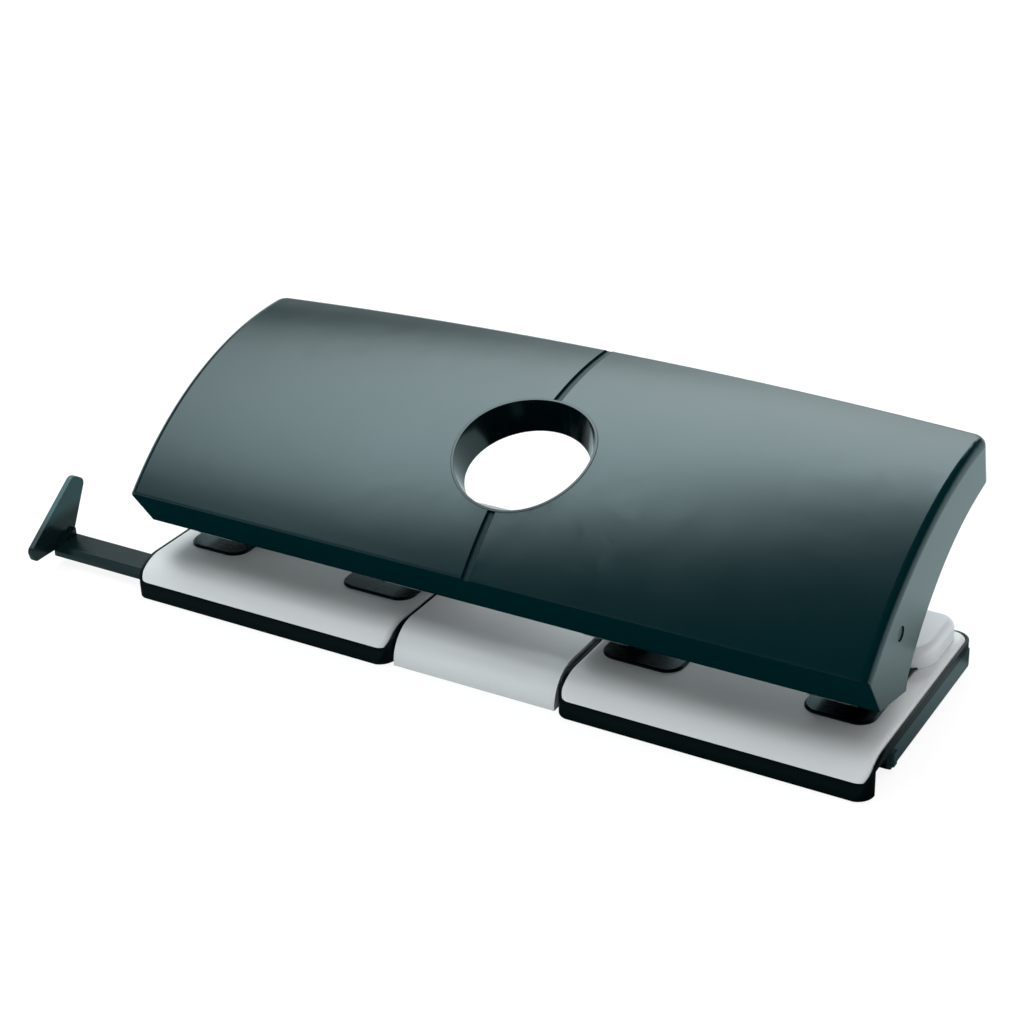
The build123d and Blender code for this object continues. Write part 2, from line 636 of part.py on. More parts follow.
def rear_housing():
    """Raised cover behind the holes; its front face is the sheet's stop."""
    depth = HOUSING_BACK - stop_y
    height = HOUSING_TOP - TABLE_Z

    def form(inset, top):
        plan = Rectangle(2 * (housing_half - inset), depth - 2 * inset)
        rows = plan.vertices().group_by(Axis.Y)
        plan = fillet(rows[0], HOUSING_FRONT_R - inset)
        plan = fillet(plan.vertices().group_by(Axis.Y)[-1], HOUSING_BACK_R - inset)
        return extrude(Pos(0, (stop_y + HOUSING_BACK) / 2, TABLE_Z) * plan, amount=top)

    body = form(0, height)
    body = fillet(body.faces().sort_by(Axis.Z)[-1].edges(), HOUSING_TOP_R)
    body -= Pos(0, 0, -1) * form(HOUSING_T, height - HOUSING_T + 1)
    for x in pins_x:
        half = cheek_out + HOUSING_SLOT_GAP
        body -= block((x - half, x + half), (stop_y - 1, NECK_BACK + HOUSING_SLOT_GAP),
                      (TABLE_Z, HOUSING_TOP + 1))
    for side in (-1, 1):
        body -= block(mirrored(side, (DIE_INNER - HOUSING_SLOT_GAP, DIE_OUTER + HOUSING_SLOT_GAP)),
                      (stop_y - 1, DIE_BACK), (0, die_top + SEAT_FIT))
    return body


def frame_screws():
    head_z = die_top + FOOT_T
    return [screw(x + dx, FRAME_SCREW_Y, head_z, SCREW_BITE)
            for x in pins_x for dx in (-FRAME_SCREW_DX, FRAME_SCREW_DX)]


# ---------------------------------------------------------------- lever
def along(a, b, reach):
    """The point that lies reach beyond b on the line from a to b."""
    n = hypot(b[0] - a[0], b[1] - a[1])
    return (b[0] + reach * (b[0] - a[0]) / n, b[1] + reach * (b[1] - a[1]) / n)


def shifted(a, b, gap):
    """The line from a to b, moved to its right by gap."""
    dy, dz = b[0] - a[0], b[1] - a[1]
    n = hypot(dy, dz)
    return [(p[0] + gap * dz / n, p[1] - gap * dy / n) for p in (a, b)]


def crown_section(x, drop):
    """Outline under the lever's top and before its back, cut at x and shrunk by drop."""
    centre = crown_centre(x)
    radius = CROWN_R - drop

    def on_top(y):
        return (y, centre[1] + sqrt(radius**2 - (y - centre[0]) ** 2))

    lean = (LIP_BOTTOM[0] - LIP_TOP_Y) / (crown_z(lever_half, LIP_TOP_Y) - LIP_BOTTOM[1])
    top = on_top(LIP_TOP_Y + BACK_BOW * bulge(x) - drop)
    low = (top[0] + lean * top[1], 0)
    front = on_top(LEVER_FRONT[0] - CROWN_RUN_ON)
    outline = [
        ThreePointArc(front, on_top((front[0] + top[0]) / 2), top),
        Line(top, low),
        Line(low, (front[0], 0)),
        Line((front[0], 0), front),
    ]
    return Plane.YZ.offset(x) * make_face(outline)


def crown_form(drop):
    """Everything under the lever's swelling top and before its bowed back, shrunk by drop."""
    reach = lever_half + CROWN_RUN_ON
    return loft([crown_section(x, drop) for x in (-reach, 0, reach)])


def lever_prism(x0, x1):
    """The lever's side outline with its flanges, left open above and behind."""
    high = 2 * CROWN_R
    behind = along(FLANGE_END, LIP_BOTTOM, BACK_BOW + CROWN_RUN_ON)
    before = along(CHIN, LEVER_FRONT, CROWN_RUN_ON)
    outline = [
        Line(CHIN, before),
        Line(before, (before[0], high)),
        Line((before[0], high), (behind[0], high)),
        Line((behind[0], high), behind),
        Line(behind, FLANGE_END),
        ThreePointArc(FLANGE_END, FLANGE_MID, HEEL),
        Line(HEEL, TOE),
        Line(TOE, CHIN),
    ]
    return along_x(outline, x0, x1)


def lever_hollow(half, wall):
    """Space inside the lever behind walls of that thickness, open below."""
    low, top = shifted(CHIN, LEVER_FRONT, wall)
    low = along(top, low, CHIN[1])
    top = along(low, top, CROWN_RUN_ON)
    far = LIP_BOTTOM[0] + BACK_BOW
    prism = polygon_x([low, top, (top[0], 2 * CROWN_R), (far, 2 * CROWN_R), (far, low[1])], -half, half)
    return prism & crown_form(wall)


def eye_axis():
    """Place of the eye's axis: its origin is on the crown and Z points out of the lever."""
    return Location((0, EYE_Y, crown_z(0, EYE_Y)), (EYE_TILT, 0, 0))


def eye_cone(grow):
    """Tapered plug as wide as the eye plus grow, long enough to pass the crown."""
    slope = (EYE_TOP_R - EYE_BOTTOM_R) / EYE_DEPTH
    above = EYE_TOP_R
    height = EYE_DEPTH + above
    cone = Cone(EYE_BOTTOM_R + grow, EYE_BOTTOM_R + slope * height + grow, height)
    return eye_axis() * Pos(0, 0, (above - EYE_DEPTH) / 2) * cone


def eye_ring():
    """Glossy ring that lines the eye."""
    slope = (EYE_TOP_R - EYE_BOTTOM_R) / EYE_DEPTH
    over = 1.0
    bore_height = EYE_DEPTH + EYE_TOP_R + over
    bore = Cone(EYE_BOTTOM_R - slope * over, EYE_BOTTOM_R + slope * (bore_height - over), bore_height)
    bore = eye_axis() * Pos(0, 0, (EYE_TOP_R - EYE_DEPTH - over) / 2) * bore
    under_crown = rod_x(CROWN_R + EYE_PROUD, *crown_centre(0), -lever_half, lever_half)
    return (eye_cone(EYE_WALL) - bore) & under_crown


def lever_rib(x):
    """Rib across the lever, open below where the press bar passes through it."""
    span = (x - RIB_T / 2, x + RIB_T / 2)
    half_slot = BAR_TOP_W / 2 + RIB_GAP
    rib = lever_prism(*span) & lever_hollow(lever_half, LEVER_T / 2)
    return rib - block(span, (PIN_Y - half_slot, PIN_Y + half_slot), (0, BAR_TOP_Z + RIB_GAP))


def lever_body():
    """The lever's outer form with its rounded edges."""
    body = lever_prism(-lever_half, lever_half) & crown_form(0)
    ends = [e for e in body.edges() if abs(abs(e.center().X) - lever_half) < SEAT_FIT]
    behind = [e for e in ends if e.center().Y > LIP_TOP_Y and e.center().Z > LIP_BOTTOM[1] + 1]
    body = fillet(behind, BACK_CORNER_R)
    crown = [e for e in body.edges() if e.center().Y > LEVER_FRONT[0] + CROWN_EDGE_R
             and abs(e.center().Z - crown_z(e.center().X, e.center().Y)) < CROWN_EDGE_R]
    body = fillet(crown, CROWN_EDGE_R)
    chin = [e for e in body.edges() if abs(e.center().X) < 1
            and hypot(e.center().Y - LEVER_FRONT[0], e.center().Z - LEVER_FRONT[1]) < CHIN_EDGE_R]
    return fillet(chin, CHIN_EDGE_R)


def lever_shell():
    """Lever moulding: curved top, chin, two flanges, ribs, posts and a collar round the eye."""
    body = lever_body() - lever_hollow(lever_half - LEVER_T, LEVER_T)
    for x in (-RIB_X, RIB_X):
        body += lever_rib(x)
    body += lever_bearings()
    body += lever_posts()
    body -= rod_x(AXLE_R + AXLE_FIT, PIVOT_Y, PIVOT_Z, -lever_half - 1, lever_half + 1)
    groove = block((-GROOVE_W / 2, GROOVE_W / 2), (LEVER_FRONT[0] - 1, LIP_BOTTOM[0] + BACK_BOW),
                   (crown_z0, 2 * CROWN_R))
    groove -= rod_x(CROWN_R - GROOVE_DEPTH, *crown_centre(0), -GROOVE_W, GROOVE_W)
    body -= groove
    return body - eye_cone(EYE_WALL + SEAT_FIT)


def lever_bearings():
    """Bosses for the axle on the flanges and ribs."""
    inner = lever_half - LEVER_T
    bosses = [rod_x(BOSS_R, PIVOT_Y, PIVOT_Z, side * inner, side * (inner - BOSS_T)) for side in (-1, 1)]
    bosses += [rod_x(BOSS_R, PIVOT_Y, PIVOT_Z, x - BOSS_T, x + BOSS_T) for x in (-RIB_X, RIB_X)]
    return bosses


def lever_posts():
    """Posts under the crown that carry the press bars."""
    posts = []
    for side in (-1, 1):
        for x in BAR_POSTS:
            top = crown_z(x, PIN_Y - BAR_POST_R, LEVER_T / 2)
            post = rod_z(BAR_POST_R, side * x, PIN_Y, BAR_TOP_Z, top)
            posts.append(post - rod_z(SCREW_R, side * x, PIN_Y, 0, BAR_TOP_Z + SCREW_BITE))
    return posts


def press_bar(side):
    """Steel bar with a rounded nose over the pins' heads."""
    y0, y1 = PIN_Y - BAR_NOSE_R, PIN_Y + BAR_NOSE_R
    flange_low = BAR_TOP_Z - BAR_TOP_T
    outline = [
        ThreePointArc((y0, bar_nose_z), (PIN_Y, bar_nose_z - BAR_NOSE_R), (y1, bar_nose_z)),
        Line((y1, bar_nose_z), (y1, flange_low)),
        Line((y1, flange_low), (PIN_Y + BAR_TOP_W / 2, flange_low)),
        Line((PIN_Y + BAR_TOP_W / 2, flange_low), (PIN_Y + BAR_TOP_W / 2, BAR_TOP_Z)),
        Line((PIN_Y + BAR_TOP_W / 2, BAR_TOP_Z), (PIN_Y - BAR_TOP_W / 2, BAR_TOP_Z)),
        Line((PIN_Y - BAR_TOP_W / 2, BAR_TOP_Z), (PIN_Y - BAR_TOP_W / 2, flange_low)),
        Line((PIN_Y - BAR_TOP_W / 2, flange_low), (y0, flange_low)),
        Line((y0, flange_low), (y0, bar_nose_z)),
    ]
    bar = along_x(outline, *mirrored(side, (BAR_INNER, BAR_OUTER)))
    for x in BAR_POSTS:
        bar -= rod_z(SCREW_R + SEAT_FIT, side * x, PIN_Y, 0, 2 * BAR_TOP_Z)
        bar -= rod_z(SCREW_HEAD_R + 2 * SEAT_FIT, side * x, PIN_Y, 0, flange_low)
    return bar


def bar_screws():
    low = BAR_TOP_Z - BAR_TOP_T
    return [screw(side * x, PIN_Y, low, SCREW_BITE, up=-1) for side in (-1, 1) for x in BAR_POSTS]


# ---------------------------------------------------------------- the parts
def build():
    parts = {
        "base_frame": base_frame(),
        "centre_ramp": centre_ramp(),
        "rear_housing": rear_housing(),
        "rubber_feet": rubber_feet(),
        "pivot_axle": pivot_axle(),
        "axle_clips": axle_clips(),
        "frame_screws": frame_screws(),
        "guide_rail": guide_rail(),
        "lever_shell": lever_shell(),
        "eye_ring": eye_ring(),
        "press_bar_screws": bar_screws(),
    }
    for name, side in sides.items():
        parts[f"table_{name}"] = table(side)
        parts[f"die_plate_{name}"] = die_plate(side)
        parts[f"chip_drawer_{name}"] = chip_drawer(side)
        parts[f"press_bar_{name}"] = press_bar(side)
    for i, x in enumerate(pins_x, 1):
        parts[f"punch_frame_{i}"] = punch_frame(x)
        parts[f"guide_bush_{i}"] = guide_bush(x)
        parts[f"punch_pin_{i}"] = punch_pin(x)
        parts[f"spring_cap_{i}"] = spring_cap(x)
        parts[f"return_spring_{i}"] = return_spring(x)
    return parts


os.makedirs("parts", exist_ok=True)
for node, shape in build().items():
    solids = shape if isinstance(shape, list) else [shape]
    solids = [s for item in solids for s in item.solids()]
    export_step(solids[0] if len(solids) == 1 else Compound(children=solids), f"parts/{node}.step")
print("spring turns", SPRING_TURNS, "least gap", round(spring_gap(), 3), "mm")
print("lever travel", round(degrees(PIN_STROKE / (PIN_Y - PIVOT_Y)), 2), "degrees")
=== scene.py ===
"""Looks of the four-hole desk punch: finishes, small surface detail, light and camera.

Metres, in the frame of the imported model: X along the holes, Y to the back, Z up.
"""
import json
from math import cos, pi, radians, sin

import bpy
from mathutils import Matrix, Vector

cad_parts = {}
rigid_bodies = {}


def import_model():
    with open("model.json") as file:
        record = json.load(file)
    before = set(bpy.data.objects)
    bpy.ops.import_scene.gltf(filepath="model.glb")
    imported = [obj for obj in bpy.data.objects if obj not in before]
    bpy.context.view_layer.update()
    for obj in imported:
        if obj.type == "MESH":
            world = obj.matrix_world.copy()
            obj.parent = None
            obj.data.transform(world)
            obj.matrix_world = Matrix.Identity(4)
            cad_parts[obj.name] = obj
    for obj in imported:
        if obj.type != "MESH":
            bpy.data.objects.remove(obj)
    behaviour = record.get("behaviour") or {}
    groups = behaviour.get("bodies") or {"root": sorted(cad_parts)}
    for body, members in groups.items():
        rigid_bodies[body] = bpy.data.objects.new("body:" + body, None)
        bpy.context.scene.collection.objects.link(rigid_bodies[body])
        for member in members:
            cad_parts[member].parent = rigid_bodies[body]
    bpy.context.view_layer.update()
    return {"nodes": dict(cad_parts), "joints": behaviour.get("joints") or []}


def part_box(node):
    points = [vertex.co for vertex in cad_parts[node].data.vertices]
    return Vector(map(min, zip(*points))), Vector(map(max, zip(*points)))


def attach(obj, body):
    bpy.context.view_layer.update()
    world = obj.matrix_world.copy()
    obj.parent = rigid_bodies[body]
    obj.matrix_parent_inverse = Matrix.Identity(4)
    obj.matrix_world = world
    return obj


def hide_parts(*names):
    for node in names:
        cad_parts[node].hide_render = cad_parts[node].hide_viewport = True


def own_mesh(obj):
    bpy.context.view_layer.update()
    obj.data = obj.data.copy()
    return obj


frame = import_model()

MM = 0.001


# ---------------------------------------------------------------- node helpers
def smooth(tree, value, start, end, low, high):
    """Value carried smoothly from low to high between start and end."""
    node = tree.nodes.new("ShaderNodeMapRange")
    node.interpolation_type = "SMOOTHSTEP"
    for name, number in (("From Min", start), ("From Max", end), ("To Min", low), ("To Max", high)):
        node.inputs[name].default_value = number
    tree.links.new(value, node.inputs["Value"])
    return node.outputs["Result"]


def combine(tree, kind, *values):
    """A Math node of that kind; a value is a socket or a number."""
    node = tree.nodes.new("ShaderNodeMath")
    node.operation = kind
    for socket, value in zip(node.inputs, values):
        if isinstance(value, (int, float)):
            socket.default_value = value
        else:
            tree.links.new(value, socket)
    return node.outputs["Value"]


def line(tree, value, slope, start):
    """start + slope * value."""
    return combine(tree, "MULTIPLY_ADD", value, slope, start)


def blend(tree, share, low, high):
    """low where share is 0 and high where it is 1."""
    node = tree.nodes.new("ShaderNodeMix")
    node.data_type = "FLOAT"
    for name, value in (("Factor", share), ("A", low), ("B", high)):
        if isinstance(value, (int, float)):
            node.inputs[name].default_value = value
        else:
            tree.links.new(value, node.inputs[name])
    return node.outputs["Result"]


def tinted(tree, share, low, high):
    """The colour low where share is 0, and high where it is 1."""
    node = tree.nodes.new("ShaderNodeMix")
    node.data_type = "RGBA"
    node.inputs["A"].default_value = (*low, 1)
    node.inputs["B"].default_value = (*high, 1)
    tree.links.new(share, node.inputs["Factor"])
    return node.outputs["Result"]


def split(tree, vector):
    """The X, Y and Z of a vector."""
    node = tree.nodes.new("ShaderNodeSeparateXYZ")
    tree.links.new(vector, node.inputs["Vector"])
    return node.outputs["X"], node.outputs["Y"], node.outputs["Z"]


class Finish:
    """A material whose colour, roughness and bump come from procedural nodes."""

    def __init__(self, name, color, roughness, metallic=0.0, ior=1.5, specular=0.5,
                 sheen=(1, 1, 1)):
        self.mat = bpy.data.materials.new(name)
        self.mat.use_nodes = True
        self.tree = self.mat.node_tree
        self.shader = self.tree.nodes["Principled BSDF"]
        self.shader.inputs["Metallic"].default_value = metallic
        self.shader.inputs["IOR"].default_value = ior
        self.shader.inputs["Specular IOR Level"].default_value = specular
        self.shader.inputs["Specular Tint"].default_value = (*sheen, 1)
        self.shader.inputs["Base Color"].default_value = (*color, 1)
        self.shader.inputs["Roughness"].default_value = roughness
        self.color = color
        self.roughness = roughness
        self.place = self.tree.nodes.new("ShaderNodeTexCoord").outputs["Object"]
        self.normal = None

    def link(self, a, b):
        self.tree.links.new(a, b)

    def stretched(self, scale):
        """Object coordinates scaled along each axis, for brushed or moulded streaks."""
        node = self.tree.nodes.new("ShaderNodeMapping")
        node.inputs["Scale"].default_value = scale
        self.link(self.place, node.inputs["Vector"])
        return node.outputs["Vector"]

    def noise(self, size_mm, detail=3.0, stretch=(1, 1, 1)):
        """Noise whose blotches are about size_mm across."""
        node = self.tree.nodes.new("ShaderNodeTexNoise")
        node.inputs["Scale"].default_value = 1 / (size_mm * MM)
        node.inputs["Detail"].default_value = detail
        self.link(self.stretched(stretch), node.inputs["Vector"])
        return node.outputs["Fac"]

    def mapped(self, value, low, high, start=0.35, end=0.65):
        node = self.tree.nodes.new("ShaderNodeMapRange")
        node.inputs["From Min"].default_value = start
        node.inputs["From Max"].default_value = end
        node.inputs["To Min"].default_value = low
        node.inputs["To Max"].default_value = high
        self.link(value, node.inputs["Value"])
        return node.outputs["Result"]

    def tint(self, value, other, amount):
        """The colour drifts towards another one where value is high."""
        mix = self.tree.nodes.new("ShaderNodeMix")
        mix.data_type = "RGBA"
        mix.inputs["A"].default_value = (*self.color, 1)
        mix.inputs["B"].default_value = (*other, 1)
        self.link(self.mapped(value, 0, amount), mix.inputs["Factor"])
        self.link(mix.outputs["Result"], self.shader.inputs["Base Color"])
        return self

    def worn(self, value, low, high):
        """Roughness that follows value."""
        self.link(self.mapped(value, low, high), self.shader.inputs["Roughness"])
        return self

    def bump(self, value, depth_mm, strength=1.0):
        node = self.tree.nodes.new("ShaderNodeBump")
        node.inputs["Distance"].default_value = depth_mm * MM
        node.inputs["Strength"].default_value = strength
        self.link(value, node.inputs["Height"])
        if self.normal:
            self.link(self.normal, node.inputs["Normal"])
        self.normal = node.outputs["Normal"]
        self.link(self.normal, self.shader.inputs["Normal"])
        return self

    def groove(self, edge, inner, floor, sides):
        """Dull grain in the groove within edge of the middle plane, coarsest outside inner."""
        across = combine(self.tree, "ABSOLUTE", split(self.tree, self.place)[0])
        plain = self.shader.inputs["Roughness"].links[0].from_socket
        rough = smooth(self.tree, across, inner - 0.2 * MM, inner + 0.2 * MM, floor, sides)
        outside = smooth(self.tree, across, edge, edge + 0.1 * MM, 0, 1)
        self.link(blend(self.tree, outside, rough, plain), self.shader.inputs["Roughness"])
        return self

    def rising(self, other, start, end):
        """The colour changes to another one between two heights."""
        height = smooth(self.tree, split(self.tree, self.place)[2], start, end, 0, 1)
        self.link(tinted(self.tree, height, self.color, other), self.shader.inputs["Base Color"])
        return self

    def dull_below(self, level):
        """Faces that look downwards mirror that little; the change falls between two slopes."""
        specular = self.shader.inputs["Specular IOR Level"]
        normal = self.tree.nodes.new("ShaderNodeTexCoord").outputs["Normal"]
        facing_up = split(self.tree, normal)[2]
        self.link(smooth(self.tree, facing_up, *CHIN_SLOPES, level, specular.default_value), specular)
        return self

    def soft_edges(self, radius_mm):
        """Edges catch the light as if they were rounded."""
        node = self.tree.nodes.new("ShaderNodeBevel")
        node.samples = 4
        node.inputs["Radius"].default_value = radius_mm * MM
        self.normal = node.outputs["Normal"]
        self.link(self.normal, self.shader.inputs["Normal"])
        return self


def moulded(name, color, other, roughness, grain_mm, grain_depth_mm, edge_mm=0.25,
            specular=0.5, sheen=(1, 1, 1)):
    """Moulded plastic: fine grain, slow drift of colour and of gloss."""
    f = Finish(name, color, roughness, specular=specular, sheen=sheen)
    f.soft_edges(edge_mm)
    f.tint(f.noise(40, 2), other, 0.5)
    f.worn(f.noise(25, 2), roughness * 0.95, roughness * 1.06)
    f.bump(f.noise(grain_mm, 2), grain_depth_mm)
    return f


def sheet_steel(name, color, other, roughness, along=(1, 30, 30), edge_mm=0.2, grain_mm=0.006):
    """Brushed or rolled steel, with streaks along one axis."""
    f = Finish(name, color, roughness, metallic=1.0)
    f.soft_edges(edge_mm)
    f.tint(f.noise(14, 4), other, 0.6)
    f.worn(f.noise(6, 5, along), roughness * 0.7, roughness * 1.35)
    f.bump(f.noise(6, 5, along), grain_mm)
    return f


# ---------------------------------------------------------------- finishes
LEVER_TEAL = (0.0002, 0.0112, 0.0134)
COOL_SHEEN = (0.84, 1.0, 1.01)
GROOVE_EDGE = 1.5 * MM       # half the width of the groove across the lever
GROOVE_INNER = 0.95 * MM     # its coarse sides end here
GROOVE_ROUGHNESS = (0.5, 0.9)    # its floor and its sides
CHIN_SLOPES = (-0.4, -0.15)  # how far a face looks up where the chin's dullness starts and ends
CHIN_SPECULAR = 0.0
FOOT_PAINTED_SHADE = (14.5 * MM, 21 * MM)     # painted shade: the edge guide is darker below, and its colour changes between these heights

lever = Finish("lever_gloss", LEVER_TEAL, 0.2, ior=1.55, sheen=COOL_SHEEN)
lever.soft_edges(0.35)
lever.tint(lever.noise(60, 2), (0.0004, 0.0126, 0.0150), 0.5)
lever.worn(lever.noise(40, 2), 0.17, 0.19)
lever.bump(lever.noise(1.1, 2), 0.0006)
lever.groove(GROOVE_EDGE, GROOVE_INNER, *GROOVE_ROUGHNESS)
lever.dull_below(CHIN_SPECULAR)


def dark(name, color, roughness, specular, grain_mm=0.5, grain_depth_mm=0.002, edge_mm=0.2):
    """Dark moulded plastic with a cool sheen."""
    other = [1.3 * part for part in color]
    return moulded(name, color, other, roughness, grain_mm, grain_depth_mm, edge_mm,
                   specular, COOL_SHEEN)


def pale(name, color, roughness=0.36):
    """Pale moulded plastic."""
    return moulded(name, color, [0.965 * part for part in color], roughness, 0.45, 0.002)


finishes = {
    "lever_shell": lever,
    "eye_ring": dark("eye_gloss", (0.0004, 0.003, 0.004), 0.12, 0.5, 1.2, 0.0006),
    "base_frame": dark("base_black", (0.0006, 0.0032, 0.0038), 0.36, 0.13),
    "tables": pale("table_grey", (0.665, 0.67, 0.68)),
    "centre_ramp": pale("ramp_silver", (0.66, 0.67, 0.685), 0.34),
    "rear_housing": pale("housing_pale", (0.665, 0.675, 0.70), 0.34),
    "guide_rail": dark("guide_dark", (0.004, 0.012, 0.014), 0.2, 0.42),
    "drawers": dark("drawer_dark", (0.012, 0.034, 0.038), 0.34, 0.4),
    "feet": moulded("foot_rubber", (0.012, 0.012, 0.013), (0.02, 0.02, 0.021), 0.85, 0.4, 0.012),
    # painted shade: the die plates' steel is coloured nearly black, for the shade under the lever over
    # them
    "dies": sheet_steel("die_painted_shade", (0.030, 0.050, 0.054), (0.022, 0.038, 0.042), 0.3,
                        grain_mm=0.0015),
    "frames": sheet_steel("frame_zinc", (0.56, 0.56, 0.54), (0.50, 0.51, 0.50), 0.36, (30, 1, 30)),
    "bars": sheet_steel("bar_steel", (0.50, 0.50, 0.50), (0.42, 0.42, 0.42), 0.33),
    "bushes": sheet_steel("bush_brass", (0.72, 0.54, 0.27), (0.62, 0.45, 0.21), 0.26, (1, 1, 30)),
    "pins": sheet_steel("pin_steel", (0.66, 0.66, 0.65), (0.58, 0.58, 0.57), 0.2, (1, 1, 30)),
    "springs": sheet_steel("spring_wire", (0.46, 0.46, 0.45), (0.36, 0.36, 0.36), 0.3, (6, 6, 6), 0.05),
    # painted shade: the axle's steel is coloured dark, for the shade on its recessed end
    "axle": sheet_steel("axle_painted_shade", (0.06, 0.085, 0.09), (0.045, 0.065, 0.07), 0.4),
    "screws": sheet_steel("screw_zinc", (0.60, 0.60, 0.58), (0.52, 0.52, 0.50), 0.3, (8, 8, 8)),
}

# painted shade: the edge guide's colour is darker at its foot and lighter above
finishes["guide_rail"].rising((0.034, 0.082, 0.088), *FOOT_PAINTED_SHADE)

finish_of = {
    "table_left": "tables", "table_right": "tables",
    "chip_drawer_left": "drawers", "chip_drawer_right": "drawers",
    "rubber_feet": "feet",
    "die_plate_left": "dies", "die_plate_right": "dies",
    "press_bar_left": "bars", "press_bar_right": "bars",
    "pivot_axle": "axle", "axle_clips": "springs",
    "frame_screws": "screws", "press_bar_screws": "screws",
}
for kind, finish in (("punch_frame", "frames"), ("guide_bush", "bushes"), ("punch_pin", "pins"),
                     ("spring_cap", "frames"), ("return_spring", "springs")):
    for number in range(1, 5):
        finish_of[f"{kind}_{number}"] = finish

for name, obj in frame["nodes"].items():
    material = finishes[finish_of.get(name, name)].mat
    for slot in obj.material_slots:
        slot.link = "OBJECT"
        slot.material = material


# ---------------------------------------------------------------- springs
def closing_spring(joint, node_name):
    """A piece for a return spring: a copy of its mesh on the joint's parent body, in place of the
    hidden original.
    """
    mesh = frame["nodes"][node_name].data.copy()
    mesh.materials.clear()
    mesh.materials.append(finishes["springs"].mat)
    piece = bpy.data.objects.new(node_name.replace("return_spring", "closing_spring"), mesh)
    bpy.context.scene.collection.objects.link(piece)
    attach(piece, joint["parent"])
    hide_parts(node_name)
    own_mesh(piece)


for joint in frame["joints"]:
    for spring in joint.get("deforming_nodes", []):
        closing_spring(joint, spring["node"])


# ---------------------------------------------------------------- stage, light and camera
def seen_directly(tree):
    """The Light Path node, and a value that is 1 for rays from the camera or through glass."""
    path = tree.nodes.new("ShaderNodeLightPath")
    camera_ray, glass_ray = path.outputs["Is Camera Ray"], path.outputs["Is Transmission Ray"]
    return path, combine(tree, "MAXIMUM", camera_ray, glass_ray)


# The camera sees a white background. Mirrored rays see a studio of these levels instead.
BACKDROP = 0.95              # behind the object
FRONT_LEFT = 0.45            # in front of it, where it is darkest on the right
FRONT_RIGHT = 0.02
STUDIO_HUE = (0.90, 1.0, 1.02)
FLOOR_HUE = (0.8, 1.0, 1.02)


def studio_level(tree, x, y, reach):
    """Brightness of the studio's floor or walls at a place or in a direction."""
    before = smooth(tree, x, -reach, 0.3 * reach, FRONT_LEFT, FRONT_RIGHT)
    return blend(tree, smooth(tree, y, -0.3 * reach, 0.4 * reach, 0, 1), before, BACKDROP)


FLOOR_REACH = 6.0
FLOOR_SHOWN = 1.1            # makes the lit floor come out white
FLOOR_SELF_LIT = 0.8         # the rest of its brightness is lit, and shows the shadow
SHADE_END = 0.040            # reflections see the floor darken over this way to the base
SHADE_BESIDE, SHADE_BEFORE = 0.55, 0.02     # and reach these shares at its side and its front
SHADE_TURN = 0.004           # from the one share to the other
FLOOR_SPREAD = 0.15          # over which the mirrored floor changes from front to back

corners = [(-FLOOR_REACH, -FLOOR_REACH, 0), (FLOOR_REACH, -FLOOR_REACH, 0),
           (FLOOR_REACH, FLOOR_REACH, 0), (-FLOOR_REACH, FLOOR_REACH, 0)]
floor_mesh = bpy.data.meshes.new("floor")
floor_mesh.from_pydata(corners, [], [(0, 1, 2, 3)])
floor = bpy.data.objects.new("floor", floor_mesh)
bpy.context.scene.collection.objects.link(floor)
floor_mat = bpy.data.materials.new("floor_white")
floor_mat.use_nodes = True
floor_mat.cycles.emission_sampling = "NONE"
tree = floor_mat.node_tree
shader = tree.nodes["Principled BSDF"]
shader.inputs["Base Color"].default_value = (0.9, 0.9, 0.9, 1)
shader.inputs["Roughness"].default_value = 0.9
shader.inputs["Specular IOR Level"].default_value = 0.0
path, seen = seen_directly(tree)
across, along, up = split(tree, tree.nodes.new("ShaderNodeTexCoord").outputs["Object"])
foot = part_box("base_frame")[1]
beside = line(tree, combine(tree, "ABSOLUTE", across), 1.0, -foot[0])
before = line(tree, combine(tree, "ABSOLUTE", along), 1.0, -foot[1])
nearest = smooth(tree, before, 0.0, SHADE_TURN, SHADE_BESIDE, SHADE_BEFORE)
away = smooth(tree, combine(tree, "MAXIMUM", beside, before), 0.0, SHADE_END, 0, 1)
shade = blend(tree, away, nearest, 1.0)
mirrored = combine(tree, "MULTIPLY", studio_level(tree, across, along, FLOOR_SPREAD), shade)
glossy = path.outputs["Is Glossy Ray"]
glow = tree.nodes.new("ShaderNodeEmission")
tree.links.new(tinted(tree, glossy, (1, 1, 1), FLOOR_HUE), glow.inputs["Color"])
tree.links.new(blend(tree, glossy, FLOOR_SHOWN, mirrored), glow.inputs["Strength"])
mix = tree.nodes.new("ShaderNodeMixShader")
shown = combine(tree, "MULTIPLY", seen, FLOOR_SELF_LIT)
tree.links.new(combine(tree, "MAXIMUM", shown, glossy), mix.inputs["Fac"])
tree.links.new(shader.outputs["BSDF"], mix.inputs[1])
tree.links.new(glow.outputs["Emission"], mix.inputs[2])
tree.links.new(mix.outputs["Shader"], tree.nodes["Material Output"].inputs["Surface"])
floor_mesh.materials.append(floor_mat)

# The studio round the object: pale walls behind, darker in front, a dark ceiling, and a long
# soft strip of light overhead on the left that runs to the back. The strip and walls were set so
# that the lever's reflections look like the photograph's. Places on the ceiling are X/Z and Y/Z.
STRIP_PEAK = 5.5             # times white
STRIP_FRONT = (-0.85, -0.1)  # fades in over these
STRIP_END = 3.3              # fades out to here
STRIP_RIGHT, RIGHT_SLANT, RIGHT_SOFT = -0.43, 0.22, 0.12
FRONT_SLANT = 0.16           # more slant in front
FRONT_TURN, TURN_ABOUT = -0.9, -0.6      # the front end is slanted too, about this X/Z
STRIP_RISE = (0.1, 0.3)      # the strip starts this high, as the Z of a direction
WALL_TOP = (0.15, 0.55)      # and the walls fade out over these
WALL_SPREAD = 0.7            # over which the walls change from front to back
LOWEST = 0.02                # least Z that the places on the ceiling are worked out with
STRIP_LEFT, LEFT_SLANT, LEFT_SOFT = -0.80, -0.12, 0.38

